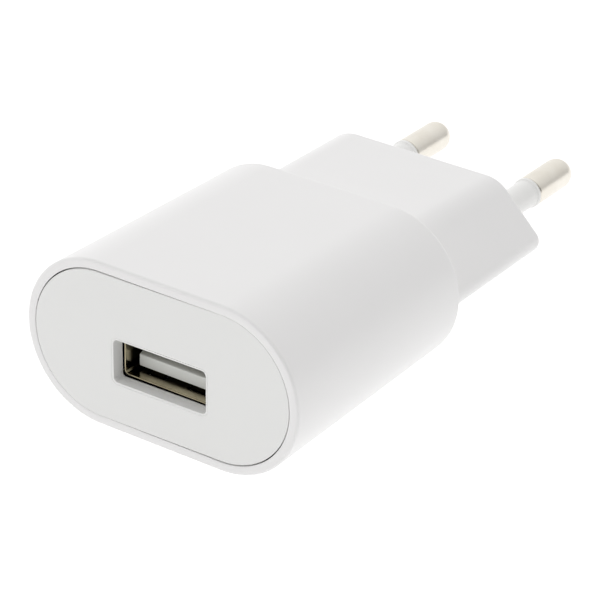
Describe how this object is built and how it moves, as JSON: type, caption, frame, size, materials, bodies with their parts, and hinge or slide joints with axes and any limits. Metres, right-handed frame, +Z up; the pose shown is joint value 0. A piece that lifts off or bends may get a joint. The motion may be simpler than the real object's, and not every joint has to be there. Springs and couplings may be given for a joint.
{
  "type": "usb wall charger",
  "caption": "Flat oval wall charger with a USB-A port in its face plate, a six-sided plug neck and fixed round mains pins with insulating sleeves.",
  "frame": {"origin": "middle of the overall length and width, at the height of the body's lowest edge, on the surface that the charger lies on", "axes": "+X across the pins, to the right as seen when facing the USB port; +Y from the USB face to the pin tips; +Z up, with the port's contacts on the upper side of its tongue"},
  "size_m": [0.0386, 0.0736, 0.0213],
  "materials": {
    "white_plastic": "fine satin moulded, polycarbonate",
    "face_plastic": "finely grained matte",
    "nickel_plated_brass": "nickel plated, polished",
    "sleeve_plastic": "satin moulded",
    "red_insulation": "soft PVC",
    "tinned_steel": "nickel plated sheet",
    "grey_plastic": "glass-filled moulding",
    "spring_bronze": "gold flashed",
    "circuit_laminate": "solder resist over glass laminate",
    "ferrite": "sintered",
    "black_plastic": "phenolic moulding",
    "copper_winding": "copper wire under yellow tape",
    "capacitor_can": "printed film sleeve over an aluminium can",
    "blue_ceramic": "dipped coating",
    "black_epoxy": "moulded epoxy",
    "green_cement": "painted cement",
    "chip_ceramic": "ceramic with tinned ends",
    "fibre_sheet": "fibre paper"
  },
  "bodies": {
    "charger_body": {"housing": "white_plastic", "face_plate": "face_plastic", "pin_left": "nickel_plated_brass", "pin_right": "nickel_plated_brass", "pin_sleeve_left": "sleeve_plastic", "pin_sleeve_right": "sleeve_plastic", "pin_lead_left": "red_insulation", "pin_lead_right": "red_insulation", "usb_shell": "tinned_steel", "usb_insulator": "grey_plastic", "usb_contact_tail_1": "spring_bronze", "usb_contact_tail_2": "spring_bronze", "usb_contact_tail_3": "spring_bronze", "usb_contact_tail_4": "spring_bronze", "circuit_board": "circuit_laminate", "transformer_core_front": "ferrite", "transformer_core_rear": "ferrite", "filter_choke": "ferrite", "transformer_bobbin": "black_plastic", "transformer_winding": "copper_winding", "input_capacitor_left": "capacitor_can", "input_capacitor_right": "capacitor_can", "output_capacitor": "capacitor_can", "safety_capacitor": "blue_ceramic", "output_diode": "black_epoxy", "bridge_rectifier": "black_epoxy", "controller_chip": "black_epoxy", "optocoupler": "black_epoxy", "bias_diode": "black_epoxy", "fusible_resistor": "green_cement", "sense_resistor": "chip_ceramic", "startup_resistor": "chip_ceramic", "snubber_resistor": "chip_ceramic", "snubber_capacitor": "chip_ceramic", "feedback_resistor": "chip_ceramic", "output_ceramic_capacitor": "chip_ceramic", "insulation_barrier": "fibre_sheet"},
    "contact_1": {"usb_contact_1": "spring_bronze"},
    "contact_2": {"usb_contact_2": "spring_bronze"},
    "contact_3": {"usb_contact_3": "spring_bronze"},
    "contact_4": {"usb_contact_4": "spring_bronze"},
    "catch_lower_left": {"usb_catch_lower_left": "tinned_steel"},
    "catch_lower_right": {"usb_catch_lower_right": "tinned_steel"},
    "catch_upper_left": {"usb_catch_upper_left": "tinned_steel"},
    "catch_upper_right": {"usb_catch_upper_right": "tinned_steel"}
  },
  "joints": [
    {"name": "contact_1_flex", "type": "hinge", "parent": "charger_body", "child": "contact_1", "pos_m": [-0.0035, -0.02405, 0.00908], "axis": [1, 0, 0], "range_deg": [0, 3], "stiffness_Nm_per_rad": 0.08},
    {"name": "contact_2_flex", "type": "hinge", "parent": "charger_body", "child": "contact_2", "pos_m": [-0.001, -0.02405, 0.00908], "axis": [1, 0, 0], "range_deg": [0, 3], "stiffness_Nm_per_rad": 0.08},
    {"name": "contact_3_flex", "type": "hinge", "parent": "charger_body", "child": "contact_3", "pos_m": [0.001, -0.02405, 0.00908], "axis": [1, 0, 0], "range_deg": [0, 3], "stiffness_Nm_per_rad": 0.08},
    {"name": "contact_4_flex", "type": "hinge", "parent": "charger_body", "child": "contact_4", "pos_m": [0.0035, -0.02405, 0.00908], "axis": [1, 0, 0], "range_deg": [0, 3], "stiffness_Nm_per_rad": 0.08},
    {"name": "catch_lower_left_flex", "type": "hinge", "parent": "charger_body", "child": "catch_lower_left", "pos_m": [-0.0029, -0.0256, 0.00683], "axis": [1, 0, 0], "range_deg": [0, 3.5], "stiffness_Nm_per_rad": 0.2},
    {"name": "catch_lower_right_flex", "type": "hinge", "parent": "charger_body", "child": "catch_lower_right", "pos_m": [0.0029, -0.0256, 0.00683], "axis": [1, 0, 0], "range_deg": [0, 3.5], "stiffness_Nm_per_rad": 0.2},
    {"name": "catch_upper_left_flex", "type": "hinge", "parent": "charger_body", "child": "catch_upper_left", "pos_m": [-0.0029, -0.0256, 0.01179], "axis": [1, 0, 0], "range_deg": [-3.5, 0], "stiffness_Nm_per_rad": 0.2},
    {"name": "catch_upper_right_flex", "type": "hinge", "parent": "charger_body", "child": "catch_upper_right", "pos_m": [0.0029, -0.0256, 0.01179], "axis": [1, 0, 0], "range_deg": [-3.5, 0], "stiffness_Nm_per_rad": 0.2}
  ]
}
